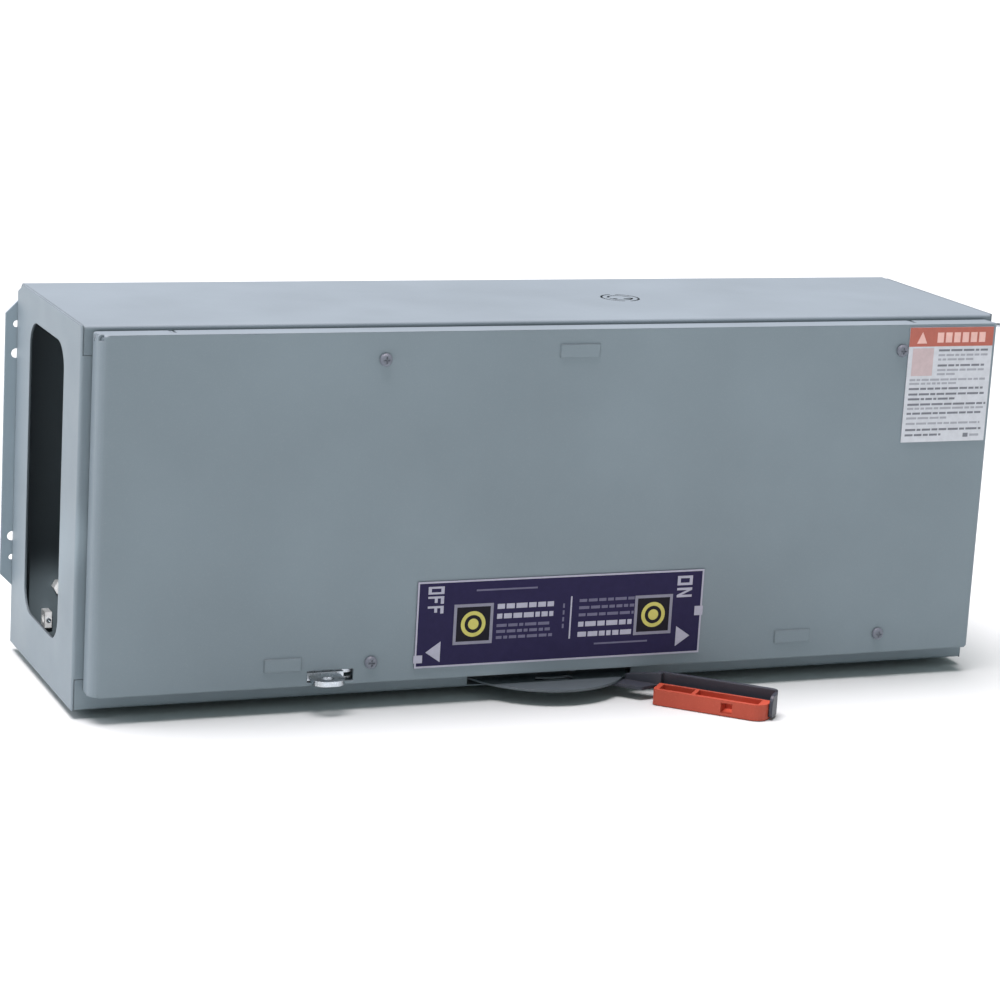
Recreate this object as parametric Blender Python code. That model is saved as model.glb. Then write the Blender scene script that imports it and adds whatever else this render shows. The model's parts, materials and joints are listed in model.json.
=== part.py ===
"""Fusible disconnect switch in a long sheet-metal box, as an assembly of separate pieces.

Panel coordinates are used throughout, in millimetres: x runs from the left end to the right end,
y from the front flange towards the wall, z up from the underside. to_world() moves them to the
part's own frame, in metres, whose origin is the centre of the rear mounting face.
"""

import math

import bpy
import bmesh
from mathutils import Matrix, Vector

MM = 0.001
GAP = 0.3                      # clearance between pieces that rest on each other

# Enclosure
WIDTH, DEPTH, HEIGHT = 700.0, 179.0, 267.0
SHEET = 1.5
BEND = 2.5                     # outer bend radius of the sheet
REAR_BEND = 9.0                # the same where the sheet turns into the rear wall
MOUNT_PLATE = 2.0
BODY_DEPTH = DEPTH - MOUNT_PLATE - GAP
WALL_BACK = BODY_DEPTH - SHEET         # inner face of the rear wall
FLANGE_TOP, FLANGE_BOTTOM, FLANGE_SIDE = 20.0, 22.0, 20.0

# Door, a shallow pan hung on a rod along its top edge
DOOR_X = (7.5, 693.5)
DOOR_Y = (-18.0, -1.5)
DOOR_Z = (13.5, 263.5)
HINGE_Y, HINGE_Z, ROD_R = -6.0, 260.0, 1.5
HINGE_X, EAR = (60.0, 626.0), 2.0
SCREW_X, SCREW_Z = (209.5, 614.0), (28.3, 244.2)
LATCH_X, LATCH_Z = 176.5, 19.0

# Handle: a disc, a lever and a grip that turn on a vertical pin behind the front flange
PIVOT = (355.3, 24.6)
HANDLE_SWING = 94.0
HANDLE_ANGLE = -90.0 + HANDLE_SWING / 2     # direction of the lever in plan, switched on
DISC_R, DISC_Z = 65.5, (4.6, 6.2)
FLANGE_SLOT_X = (291.0, 420.0)
LOCK_SLOT_R = (32.0, 41.0)
LEVER_U, LEVER_Z = (-9.0, 181.4), (1.9, 4.3)
BAR_TOP = (12.6, 13.0)         # height of the turned-up side at its inner and outer ends
TIP_Z = (-4.4, 11.6)           # height of the plate that closes the lever's outer end
TIP_R = 6.0                    # rounding of the lever's outer rear corner
RIVET_U = (16.0, 27.0)
GRIP_U, GRIP_HALF = (94.0, 178.5), 13.0
GRIP_Z = (-5.7, 6.0)
CRANK_R = 24.0
LINK_Z = (6.5, 8.5)
CRANK_Z = (9.2, 11.7)

# Switch: three poles one above another, each with a double-break blade and a fuse
POLE_Z = (65.0, 135.0, 205.0)
ROTOR = (PIVOT[0], 110.0)
ROTOR_R = 13.0
BLADE = (76.0, 15.0, 4.0)      # length, width, thickness
BASE_FRONT = 155.0
FUSE_X = (130.0, 311.0)
FUSE_TUBE_R, FUSE_CAP_R = 18.5, 20.5
FUSE_BLADE = (27.0, 29.0, 4.8)
LUG = (30.0, 26.0, 28.0)
LUG_BORE_R = 7.5

COLOURS = {
    "paint": ((0.24, 0.29, 0.32, 1), 0.45, 0.0),
    "black_paint": ((0.02, 0.02, 0.022, 1), 0.5, 0.0),
    "red_plastic": ((0.6, 0.1, 0.05, 1), 0.4, 0.0),
    "zinc": ((0.75, 0.76, 0.78, 1), 0.3, 1.0),
    "copper": ((0.72, 0.42, 0.28, 1), 0.35, 1.0),
    "aluminium": ((0.8, 0.8, 0.82, 1), 0.35, 1.0),
    "phenolic": ((0.09, 0.07, 0.06, 1), 0.5, 0.0),
    "fibre": ((0.16, 0.15, 0.14, 1), 0.7, 0.0),
    "fuse_tube": ((0.1, 0.2, 0.3, 1), 0.6, 0.0),
    "plate_print": ((0.03, 0.025, 0.08, 1), 0.4, 0.0),
    "label_print": ((0.8, 0.8, 0.82, 1), 0.5, 0.0),
}


# ---------------------------------------------------------------- helpers

def to_world(x, y, z):
    """Panel millimetres to the part's frame in metres."""
    return Vector(((x - WIDTH / 2) * MM, (y - DEPTH) * MM, (z - HEIGHT / 2) * MM))


def clear_scene():
    for obj in list(bpy.data.objects):
        bpy.data.objects.remove(obj, do_unlink=True)


def material(kind):
    found = bpy.data.materials.get(kind)
    if found:
        return found
    mat = bpy.data.materials.new(kind)
    mat.use_nodes = True
    shader = mat.node_tree.nodes["Principled BSDF"]
    colour, roughness, metallic = COLOURS[kind]
    shader.inputs["Base Color"].default_value = colour
    shader.inputs["Roughness"].default_value = roughness
    shader.inputs["Metallic"].default_value = metallic
    return mat


def shade(mesh):
    mesh.shade_smooth()
    mesh.set_sharp_from_angle(angle=math.radians(35))


def new_object(name, bm, kind="paint"):
    """A named object from a bmesh; faces are turned outwards and round parts shaded smooth."""
    bmesh.ops.remove_doubles(bm, verts=bm.verts, dist=1e-7)
    bmesh.ops.recalc_face_normals(bm, faces=bm.faces)
    mesh = bpy.data.meshes.new(name)
    bm.to_mesh(mesh)
    bm.free()
    shade(mesh)
    mesh.materials.append(material(kind))
    obj = bpy.data.objects.new(name, mesh)
    bpy.context.scene.collection.objects.link(obj)
    return obj


def arc(cx, cy, radius, start, end, steps):
    """Points of an arc, angles in degrees."""
    return [(cx + radius * math.cos(math.radians(start + (end - start) * i / steps)),
             cy + radius * math.sin(math.radians(start + (end - start) * i / steps)))
            for i in range(steps + 1)]


def circle(cx, cy, radius, steps=24):
    return arc(cx, cy, radius, 0, 360, steps)[:-1]


def filleted(points, radii, steps=4):
    """A polygon whose corners are rounded; radii holds one radius for each corner."""
    outline = []
    count = len(points)
    for i, radius in enumerate(radii):
        corner = Vector(points[i])
        if radius == 0:
            outline.append(tuple(corner))
            continue
        back = (Vector(points[i - 1]) - corner).normalized()
        ahead = (Vector(points[(i + 1) % count]) - corner).normalized()
        half = back.angle(ahead) / 2
        centre = corner + (back + ahead).normalized() * radius / math.sin(half)
        first = corner + back * radius / math.tan(half) - centre
        last = corner + ahead * radius / math.tan(half) - centre
        turn = first.angle_signed(last)
        for step in range(steps + 1):
            outline.append(tuple(centre + Matrix.Rotation(-turn * step / steps, 2) @ first))
    return outline


def rounded_rect(x0, x1, y0, y1, radius, steps=4):
    return filleted([(x0, y0), (x1, y0), (x1, y1), (x0, y1)], [radius] * 4, steps)


def prism(outline, axis, low, high):
    """A bmesh of an outline extruded along an axis. The outline's two coordinates are the other
    two axes in X, Y, Z order."""
    def point(a, b, c):
        ordered = {"x": (c, a, b), "y": (a, c, b), "z": (a, b, c)}[axis]
        return to_world(*ordered)
    bm = bmesh.new()
    bottom = [bm.verts.new(point(a, b, low)) for a, b in outline]
    top = [bm.verts.new(point(a, b, high)) for a, b in outline]
    bm.faces.new(bottom)
    bm.faces.new(top)
    for i in range(len(outline)):
        j = (i + 1) % len(outline)
        bm.faces.new((bottom[i], bottom[j], top[j], top[i]))
    return bm


def block(x, y, z):
    """A bmesh box from three (low, high) pairs."""
    return prism([(x[0], y[0]), (x[1], y[0]), (x[1], y[1]), (x[0], y[1])], "z", z[0], z[1])


def lathe(cx, cy, profile, steps=24):
    """A solid turned about a vertical axis; profile holds (radius, z) from the bottom up."""
    bm = bmesh.new()
    rings = []
    for radius, z in profile:
        ring = [bm.verts.new(to_world(x, y, z)) for x, y in circle(cx, cy, radius, steps)]
        rings.append(ring)
    bm.faces.new(rings[0])
    bm.faces.new(rings[-1])
    for low, high in zip(rings, rings[1:]):
        for i in range(steps):
            j = (i + 1) % steps
            bm.faces.new((low[i], low[j], high[j], high[i]))
    return bm


def lay_forward(bm, x, z):
    """Turns a piece lathed about (x, 0) so that its axis points out of the front, at height z."""
    pivot = to_world(x, 0, 0)
    turn = Matrix.Translation(to_world(x, 0, z)) @ Matrix.Rotation(math.radians(90), 4, "X")
    bmesh.ops.transform(bm, matrix=turn @ Matrix.Translation(-pivot), verts=bm.verts)
    return bm


def combine(obj, operation, pieces):
    """Adds (UNION) or cuts (DIFFERENCE) pieces one after another, and keeps the plain mesh."""
    for bm in pieces:
        tool = new_object(obj.name + "_tool", bm)
        step = obj.modifiers.new(operation.lower(), "BOOLEAN")
        step.operation = operation
        step.solver = "EXACT"
        step.object = tool
        graph = bpy.context.evaluated_depsgraph_get()
        mesh = bpy.data.meshes.new_from_object(obj.evaluated_get(graph))
        obj.modifiers.clear()
        old = obj.data
        obj.data = mesh
        bpy.data.meshes.remove(old)
        bpy.data.objects.remove(tool, do_unlink=True)
    shade(obj.data)
    obj.data.name = obj.name
    obj.data.materials.clear()
    obj.data.materials.append(bpy.data.materials[obj["finish"]])
    return obj


def solid(name, kind, first, add=(), cut=()):
    """One piece: a first shape, the shapes added to it, and the shapes cut out of it."""
    obj = new_object(name, first, kind)
    obj["finish"] = kind
    combine(obj, "UNION", add)
    combine(obj, "DIFFERENCE", cut)
    return obj


def pivoted(obj, x, y, z):
    """Moves an object's origin to a joint's axis without moving its shape."""
    origin = to_world(x, y, z)
    obj.data.transform(Matrix.Translation(-origin))
    obj.location = origin
    return obj


# ---------------------------------------------------------------- enclosure

def knockout_slots(centre, radii, axis, low, high):
    """Arc-shaped slots round a knockout; two ties are left in each ring."""
    tie, half_width = 9.0, 0.8
    cutters = []
    for number, radius in enumerate(radii):
        turn = 90.0 * number
        for start in (turn, turn + 180.0):
            outer = arc(*centre, radius + half_width, start + tie, start + 180 - tie, 12)
            inner = arc(*centre, radius - half_width, start + 180 - tie, start + tie, 12)
            cutters.append(prism(outer + inner, axis, low, high))
    return cutters


def enclosure_body():
    """Top, back and underside in one bent sheet, with a return flange above and below the door."""
    back, top, bottom = BODY_DEPTH, HEIGHT, 0.0
    inner_bend, inner_rear_bend = BEND - SHEET, REAR_BEND - SHEET
    outline = [(0, FLANGE_BOTTOM), (0, bottom), (back, bottom), (back, top), (0, top),
               (0, top - FLANGE_TOP), (SHEET, top - FLANGE_TOP), (SHEET, top - SHEET),
               (back - SHEET, top - SHEET), (back - SHEET, SHEET), (SHEET, SHEET),
               (SHEET, FLANGE_BOTTOM)]
    radii = [0, BEND, REAR_BEND, REAR_BEND, BEND, 0, 0,
             inner_bend, inner_rear_bend, inner_rear_bend, inner_bend, 0]
    shell = prism(filleted(outline, radii), "x", SHEET + GAP, WIDTH - SHEET - GAP)
    handle_slot = block(FLANGE_SLOT_X, (-1, SHEET + 1.2), (1.7, 9.5))
    pin_hole = prism(circle(*PIVOT, 9.0), "z", -1, SHEET + 1)
    knockouts = knockout_slots((431.5, 86), (9.0, 14.0), "z", top - SHEET - 1, top + 1)
    knockouts += [block(x, (80.5, 83.5), (top - SHEET - 1, top + 1))
                  for x in ((424.5, 427.5), (433, 439))]
    return solid("enclosure_body", "paint", shell, cut=[handle_slot, pin_hole] + knockouts)


def front_edge(x_out, inwards):
    """What is cut away outside the bend between an end plate and its flange."""
    x_bend = x_out + inwards * BEND
    outline = [(x_out - inwards, -1), (x_bend, -1)]
    outline += arc(x_bend, BEND, BEND, 270, 270 - inwards * 90, 5)
    return prism(outline + [(x_out - inwards, BEND)], "z", -1, HEIGHT + 1)


def end_plate(x_out, inwards):
    """A flat end closing the bent sheet, with a clipped upper rear corner and a flange beside the
    door opening."""
    x_in = x_out + inwards * SHEET
    x_edge = x_out + inwards * FLANGE_SIDE
    clip_y, clip_z = BODY_DEPTH - 16, 7
    outline = [(0.3, 0), (BODY_DEPTH, 0), (BODY_DEPTH, HEIGHT - clip_z), (clip_y, HEIGHT),
               (0.3, HEIGHT)]
    sheet = prism(outline, "x", *sorted((x_out, x_in)))
    corner = filleted([(x_out, 0), (x_edge, 0), (x_edge, SHEET), (x_in, SHEET), (x_in, 12),
                       (x_out, 12)], [0, 0, 0, BEND - SHEET, 0, 0])
    flange = prism(corner, "z", FLANGE_BOTTOM + GAP, HEIGHT - FLANGE_TOP - GAP)
    return sheet, flange


def left_end_plate():
    sheet, flange = end_plate(0.0, 1)
    cable_opening = prism(rounded_rect(43, 138, 35.5, 246.5, 18, 8), "x", -1, SHEET + 1)
    return solid("left_end_plate", "paint", sheet, add=[flange],
                 cut=[cable_opening, front_edge(0.0, 1)])


def right_end_plate():
    sheet, flange = end_plate(WIDTH, -1)
    knockouts = knockout_slots((92, 133.5), (22.0, 31.0), "x", WIDTH - SHEET - 1, WIDTH + 1)
    return solid("right_end_plate", "paint", sheet, add=[flange],
                 cut=knockouts + [front_edge(WIDTH, -1)])


def mounting_plate():
    """Rear plate that stands past both ends of the box; the ends half cover the holes in its ears."""
    left, right, low, high, chamfer = -8.4, WIDTH + 8.4, 41.9, 252.9, 9.0
    outline = [(left, low + chamfer), (left + chamfer, low), (right - chamfer, low),
               (right, low + chamfer), (right, high - chamfer), (right - chamfer, high),
               (left + chamfer, high), (left, high - chamfer)]
    plate = prism(outline, "y", DEPTH - MOUNT_PLATE, DEPTH)
    holes = []
    for x in (-0.3, WIDTH + 0.3):
        for z, radius in ((235.9, 2.6), (214.5, 3.6), (79.2, 3.6), (63.4, 2.2)):
            holes.append(prism(circle(x, z, radius, 16), "y", DEPTH - MOUNT_PLATE - 1, DEPTH + 1))
    return solid("mounting_plate", "paint", plate, cut=holes)


def hinge_bracket(name, x):
    """A small angle on the upper flange whose ear stands in a notch of the door's top wall."""
    foot = block((x, x + 14), (-1.8, -GAP), (247, 253.5))
    ear = block((x, x + EAR), (-9.0, -GAP), (247, 263))
    hole = prism(circle(HINGE_Y, HINGE_Z, ROD_R + 0.3, 16), "x", x - 1, x + EAR + 1)
    return solid(name, "paint", foot, add=[ear], cut=[hole])


def hinge_rod():
    """Full-length rod with its right end standing out past the door."""
    rod = prism(circle(HINGE_Y, HINGE_Z, ROD_R, 14), "x", DOOR_X[0] - 0.3, WIDTH + 7)
    return solid("hinge_rod", "zinc", rod)


def latch_catch():
    """Hook on the lower flange, just left of the latch's finger."""
    foot = block((140, 155.5), (-1.8, -GAP), (15.8, 21.5))
    arm = block((146, 148.5), (-12, -GAP), (15.8, 21.5))
    lip = block((146, 155.5), (-12, -9.8), (15.8, 21.5))
    return solid("latch_catch", "zinc", foot, add=[arm, lip])


def ground_lug():
    """Aluminium earthing lug on the rear wall, seen through the cable opening."""
    body = block((22.4, 27.6), (164, WALL_BACK - GAP), (12, 24))
    bore = prism(circle(169.3, 18, 3.4, 16), "x", 22, 28)
    return solid("ground_lug", "aluminium", body, cut=[bore])


def ground_stud():
    """Bonding stud and hexagon nut on the rear wall."""
    x, z = 34.5, 41
    nut = prism(arc(x, z, 5.2, 0, 360, 6)[:-1], "y", 167, WALL_BACK - GAP)
    stud = prism(circle(x, z, 2.6, 16), "y", 162, 169)
    return solid("ground_stud", "zinc", nut, add=[stud])


# ---------------------------------------------------------------- door

def raised_pads():
    """Three pressed pads that stand a little proud of the door."""
    places = (((340, 370), (243.5, 253.0)), ((131, 158), (25.0, 34.5)), ((527, 556), (25.5, 35.0)))
    return [block(x, (DOOR_Y[0] - 1.1, DOOR_Y[0] + 0.5), z) for x, z in places]


def door():
    """Pan with four side walls, open at the back, with a soft bend down its left edge and an open
    corner above that bend."""
    (left, right), (front, rear) = DOOR_X, DOOR_Y
    outline = [(left, rear), (left, front), (right, front), (right, rear)]
    pan = prism(filleted(outline, [0, 7.0, 2.6, 0], 5), "z", *DOOR_Z)
    rear_edge = to_world(0, rear, 0).y
    edges = [e for e in pan.edges if min(v.co.y for v in e.verts) < rear_edge - 1e-6
             and abs(e.verts[0].co.z - e.verts[1].co.z) < 1e-6]
    bmesh.ops.bevel(pan, geom=edges, offset=1.8 * MM, segments=3, profile=0.5, affect="EDGES")
    inside = [(left + SHEET, 3), (left + SHEET, front + SHEET), (right - SHEET, front + SHEET),
              (right - SHEET, 3)]
    hollow = prism(filleted(inside, [0, 5.5, 1.1, 0], 5), "z", DOOR_Z[0] + SHEET, DOOR_Z[1] - SHEET)
    corner = block((left - 1, left + 3.8), (front - 1, front + 4.3), (DOOR_Z[1] - 4, DOOR_Z[1] + 1))
    rod_hole = prism(circle(HINGE_Y, HINGE_Z, ROD_R + 0.3, 16), "x", DOOR_X[0] - 3, DOOR_X[1] + 3)
    latch_slot = block((LATCH_X - 13.5, LATCH_X + 20.5), (DOOR_Y[0] - 3, DOOR_Y[0] + 3),
                       (15.9, 24.4))
    holes = [prism(circle(x, z, 2.8, 16), "y", DOOR_Y[0] - 3, DOOR_Y[0] + 3)
             for x in SCREW_X for z in SCREW_Z]
    notches = [block((x - 1, x + EAR + 1), (-9.9, 1), (DOOR_Z[1] - 3, DOOR_Z[1] + 1))
               for x in HINGE_X]
    obj = solid("door", "paint", pan,
                cut=[hollow, corner, rod_hole, latch_slot] + notches + holes)
    combine(obj, "UNION", raised_pads())
    return pivoted(obj, WIDTH / 2, HINGE_Y, HINGE_Z)


def door_liner():
    """Insulating sheet behind the door, held by the four screws."""
    inner = DOOR_Y[0] + SHEET
    sheet = block((202, 621), (inner + GAP, inner + GAP + 1.5), (20.5, 251))
    holes = [prism(circle(x, z, 2.8, 16), "y", inner, inner + 3)
             for x in SCREW_X for z in SCREW_Z]
    return pivoted(solid("door_liner", "fibre", sheet, cut=holes), WIDTH / 2, HINGE_Y, HINGE_Z)


def door_screw(name, x, z):
    """Pan-head screw through the door and its liner, with a cross-slot."""
    seat = -DOOR_Y[0]
    profile = [(2.4, seat - 6.5), (2.4, seat + GAP), (4.6, seat + GAP), (4.6, seat + 1.5),
               (3.6, seat + 2.6), (1.5, seat + 3.0)]
    screw = lay_forward(lathe(x, 0, profile, 16), x, z)
    slots = [block((x - 2.2, x + 2.2), (DOOR_Y[0] - 4, DOOR_Y[0] - 2.2), (z - 0.5, z + 0.5)),
             block((x - 0.5, x + 0.5), (DOOR_Y[0] - 4, DOOR_Y[0] - 2.2), (z - 2.2, z + 2.2))]
    return pivoted(solid(name, "paint", screw, cut=slots), WIDTH / 2, HINGE_Y, HINGE_Z)


def label(name, kind, x, z):
    """A thin plate on the door's front."""
    plate = block(x, (DOOR_Y[0] - GAP - 0.5, DOOR_Y[0] - GAP), z)
    return pivoted(solid(name, kind, plate), WIDTH / 2, HINGE_Y, HINGE_Z)


def latch_guide():
    """Shallow bracket behind the door that the latch slides in."""
    inner = DOOR_Y[0] + SHEET
    face = block((156, 201), (-13.0, -11.6), (15.4, 27.0))
    feet = [block((156, 158), (inner + GAP, -12), (15.4, 27.0)),
            block((199, 201), (inner + GAP, -12), (15.4, 27.0))]
    window = block((161, 198.5), (-14, -11), (LATCH_Z - 1.4, LATCH_Z + 1.4))
    obj = solid("latch_guide", "zinc", face, add=feet, cut=[window])
    return pivoted(obj, WIDTH / 2, HINGE_Y, HINGE_Z)


def door_latch():
    """Sliding latch: a rounded thumb tab in front, with a padlock eye, and a finger behind."""
    low, high = LATCH_Z - 1.0, LATCH_Z + 1.0
    tab_outline = filleted([(LATCH_X - 12, -12), (LATCH_X - 12, -32), (LATCH_X + 12, -32),
                            (LATCH_X + 12, -12)], [0, 9, 9, 0], 6)
    tab = prism(tab_outline, "z", low, high)
    lip_outline = (arc(LATCH_X - 3, -23, 9, 180, 270, 6) + arc(LATCH_X + 3, -23, 9, 270, 360, 6)
                   + arc(LATCH_X + 3, -23, 7, 360, 270, 6) + arc(LATCH_X - 3, -23, 7, 270, 180, 6))
    lip = prism(lip_outline, "z", LATCH_Z - 2.8, LATCH_Z)
    shoulder = block((LATCH_X - 14, LATCH_X + 14), (-16.1, -13.4), (16.6, 22.4))
    tongue = block((LATCH_X - 12, LATCH_X + 12), (-14, -4), (low, high))
    finger = block((LATCH_X - 19.5, LATCH_X - 11), (-7.5, -4), (low, high))
    eye = prism(circle(LATCH_X, -23.5, 4.0, 20), "z", low - 1, high + 1)
    obj = solid("door_latch", "zinc", tab, add=[lip, shoulder, tongue, finger], cut=[eye])
    return pivoted(obj, LATCH_X, DOOR_Y[0], LATCH_Z)


# ---------------------------------------------------------------- handle and drive

def turned_with_handle(obj):
    """Gives a piece drawn in the lever's own frame (u outwards, v to its side) its real place."""
    obj.data.transform(Matrix.Translation(-to_world(0, 0, 0)))
    obj.location = to_world(*PIVOT, 0)
    obj.rotation_euler = (0, 0, math.radians(HANDLE_ANGLE))
    return obj


def lock_slot(middle):
    """An arc-shaped padlock slot through the disc."""
    outer = arc(0, 0, LOCK_SLOT_R[1], middle - 24, middle + 24, 10)
    inner = arc(0, 0, LOCK_SLOT_R[0], middle + 24, middle - 24, 10)
    return prism(outer + inner, "z", DISC_Z[0] - 1, DISC_Z[1] + 1)


def handle_disc():
    """Disc that stands out through the slot in the front flange; a lock slot faces forward at
    each end of the handle's swing."""
    disc = prism(circle(0, 0, DISC_R, 72), "z", *DISC_Z)
    half = HANDLE_SWING / 2
    cuts = [lock_slot(-half), lock_slot(half), prism(circle(0, 0, 5.3), "z", 0, 9)]
    cuts.append(prism(circle(*crank_point(), 3.0, 16), "z", 0, 9))
    cuts += rivet_holes()
    return turned_with_handle(solid("handle_disc", "paint", disc, cut=cuts))


def rivet_holes():
    return [prism(circle(u, 0, 2.6, 16), "z", LEVER_Z[0] - 1, DISC_Z[1] + 1) for u in RIVET_U]


def handle_lever():
    """Steel lever under the disc; along the grip it keeps to the rear side and turns up, and its
    end plate covers the grip's outer end."""
    tip = LEVER_U[1]
    outline = [(LEVER_U[0], -8), (84, -8), (92, 4.5), (tip - 2.5, 4.5), (tip - 2.5, -5),
               (tip, -5), (tip, 12.7), (92, 12.7), (86, 8), (LEVER_U[0], 8)]
    bar = prism(filleted(outline, [7, 4, 4, 0, 0, 0, 0, 3, 3, 7]), "z", *LEVER_Z)
    rear_side = [(93, LEVER_Z[0]), (tip, LEVER_Z[0]), (tip, BAR_TOP[1]), (93, BAR_TOP[0])]
    rear_rib = prism(rear_side, "y", 9.2, 12.7)
    root_side = [(67, LEVER_Z[0]), (93, LEVER_Z[0]), (93, BAR_TOP[0]), (80, 11), (67, 8.5)]
    root_rib = prism(root_side, "y", 5, 8)
    rib_step = block((90.5, 94.5), (5, 12.7), (LEVER_Z[0], BAR_TOP[0]))
    tip_rib = prism(filleted([(-5, TIP_Z[0]), (12.7, TIP_Z[0]), (12.7, TIP_Z[1]), (-5, TIP_Z[1])],
                             [2.5, 4.5, 0, 6]), "x", tip - 2.5, tip)
    round_tip = (arc(tip - TIP_R, 12.7 - TIP_R, TIP_R, 90, 0, 6)
                 + [(tip + 1, 12.7 - TIP_R), (tip + 1, 14), (tip - TIP_R, 14)])
    cuts = [prism(round_tip, "z", -6, 20), prism(circle(0, 0, 5.3), "z", 0, 9)] + rivet_holes()
    return turned_with_handle(solid("handle_lever", "black_paint", bar,
                                    add=[rear_rib, root_rib, rib_step, tip_rib], cut=cuts))


def handle_grip():
    """Moulded grip under and in front of the lever, with two pockets in its top."""
    u0, u1 = GRIP_U
    outline = filleted([(u0, -GRIP_HALF), (u1, -GRIP_HALF), (u1, GRIP_HALF), (u0, GRIP_HALF)],
                       [3, 10, 5, 3], 6)
    body = prism(outline, "z", *GRIP_Z)
    seat_z = LEVER_Z[0] - GAP
    seat = block((u0 - 2, u1 + 1), (4.2, GRIP_HALF + 1), (seat_z, 8))
    inner_pocket = block((u0 + 4, 122), (-10, 2.2), (-3.5, 8))
    outer_pocket = block((125, 172), (-10, 2.2), (2.0, 8))
    hole = block((145.5, 154), (-GRIP_HALF - 1, 0), (-3.7, 3.8))
    return turned_with_handle(solid("handle_grip", "red_plastic", body,
                                    cut=[seat, inner_pocket, outer_pocket, hole]))


def handle_pin():
    """Pivot pin: a headed shaft through the bush, the lever and the disc."""
    profile = [(8.0, -5.0), (8.0, -2.8), (5.0, -2.8), (5.0, 12.0)]
    pin = lathe(0, 0, profile)
    return turned_with_handle(solid("handle_pin", "zinc", pin))


def handle_rivet(name, u):
    """Rivet joining the lever and the disc."""
    head, foot = DISC_Z[1] + GAP, LEVER_Z[0]
    profile = [(2.3, foot), (2.3, head), (4.0, head), (3.2, head + 1.4)]
    return turned_with_handle(solid(name, "zinc", lathe(u, 0, profile, 16)))


def crank_point():
    """Place of the drive link's pin on the disc, in the lever's frame."""
    plan = math.radians(HANDLE_SWING / 2 - HANDLE_ANGLE)
    return CRANK_R * math.cos(plan), CRANK_R * math.sin(plan)


def crank_pin():
    profile = [(2.7, DISC_Z[0] - 0.1), (2.7, LINK_Z[1] + GAP), (4.2, LINK_Z[1] + GAP),
               (4.2, LINK_Z[1] + 1.6)]
    return turned_with_handle(solid("crank_pin", "zinc", lathe(*crank_point(), profile, 16)))


def link_ends():
    """The drive link's two pin centres, switched on."""
    turn = math.radians(HANDLE_SWING / 2)
    offset = (CRANK_R * math.cos(turn), CRANK_R * math.sin(turn))
    return [(centre[0] + offset[0], centre[1] + offset[1]) for centre in (PIVOT, ROTOR)]


def drive_link():
    """Flat bar that carries the handle's turn to the rotor; its rear eye is a loose fit."""
    (x, y_front), (_, y_rear) = link_ends()
    outline = (arc(x, y_front, 5.2, 180, 360, 10) + arc(x, y_rear, 6.4, 0, 180, 10))
    bar = prism(outline, "z", *LINK_Z)
    eyes = [prism(circle(x, y_front, 3.0, 16), "z", 5, 10),
            prism(circle(x, y_rear, 3.6, 16), "z", 5, 10)]
    return pivoted(solid("drive_link", "zinc", bar, cut=eyes), x, y_front, LINK_Z[0])


def rotor_crank():
    """Crank plate on the foot of the rotor, with a pin down into the link's rear eye."""
    (x, y) = link_ends()[1]
    angle = HANDLE_SWING / 2
    outline = arc(*ROTOR, 11.0, angle + 90, angle + 270, 12) + arc(x, y, 6.0, angle - 90,
                                                                  angle + 90, 10)
    plate = prism(outline, "z", *CRANK_Z)
    pin = lathe(x, y, [(2.6, LINK_Z[0] - 0.2), (2.6, CRANK_Z[1] - 0.5)], 16)
    bore = prism(circle(*ROTOR, 5.4), "z", 8, 13)
    return pivoted(solid("rotor_crank", "zinc", plate, add=[pin], cut=[bore]), *ROTOR, CRANK_Z[0])


def handle_bush():
    """Flanged bush in the underside, in which the pivot pin turns."""
    bush = lathe(*PIVOT, [(14.0, -2.4), (14.0, -GAP), (8.6, -GAP), (8.6, SHEET)])
    bore = prism(circle(*PIVOT, 5.3), "z", -4, 4)
    return solid("handle_bush", "zinc", bush, cut=[bore])


# ---------------------------------------------------------------- switch and fuses

def switch_base():
    """Moulded insulating panel on the rear wall that carries every live part."""
    base = block((92, 500), (BASE_FRONT, WALL_BACK - GAP), (22, 246))
    recesses = [block((165, 280), (BASE_FRONT - 1, BASE_FRONT + 5), (z - 16, z + 16))
                for z in POLE_Z]
    return solid("switch_base", "phenolic", base, cut=recesses)


def rotor_bearing(name, low, high):
    """Flanged block that holds one end of the rotor."""
    body = lathe(*ROTOR, [(9.0, low), (9.0, high)])
    bore = prism(circle(*ROTOR, 5.3), "z", low - 1, high + 1)
    return solid(name, "phenolic", body, cut=[bore])


def rotor_shaft():
    """Insulating cross-bar with a journal at each end and a window for each blade."""
    profile = [(5.0, 3.2), (5.0, 12.2), (ROTOR_R, 12.2), (ROTOR_R, 250), (5.0, 250), (5.0, 262)]
    windows = [block((ROTOR[0] - 20, ROTOR[0] + 20),
                     (ROTOR[1] - BLADE[1] / 2 - GAP, ROTOR[1] + BLADE[1] / 2 + GAP),
                     (z - BLADE[2] / 2 - GAP, z + BLADE[2] / 2 + GAP)) for z in POLE_Z]
    return pivoted(solid("rotor_shaft", "phenolic", lathe(*ROTOR, profile, 32), cut=windows),
                   *ROTOR, CRANK_Z[0])


def contact_blade(name, z):
    """Double-break copper blade with rounded tips."""
    length, width, thick = BLADE
    outline = rounded_rect(ROTOR[0] - length / 2, ROTOR[0] + length / 2,
                           ROTOR[1] - width / 2, ROTOR[1] + width / 2, 4)
    bar = prism(outline, "z", z - thick / 2, z + thick / 2)
    return pivoted(solid(name, "copper", bar), *ROTOR, CRANK_Z[0])


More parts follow.
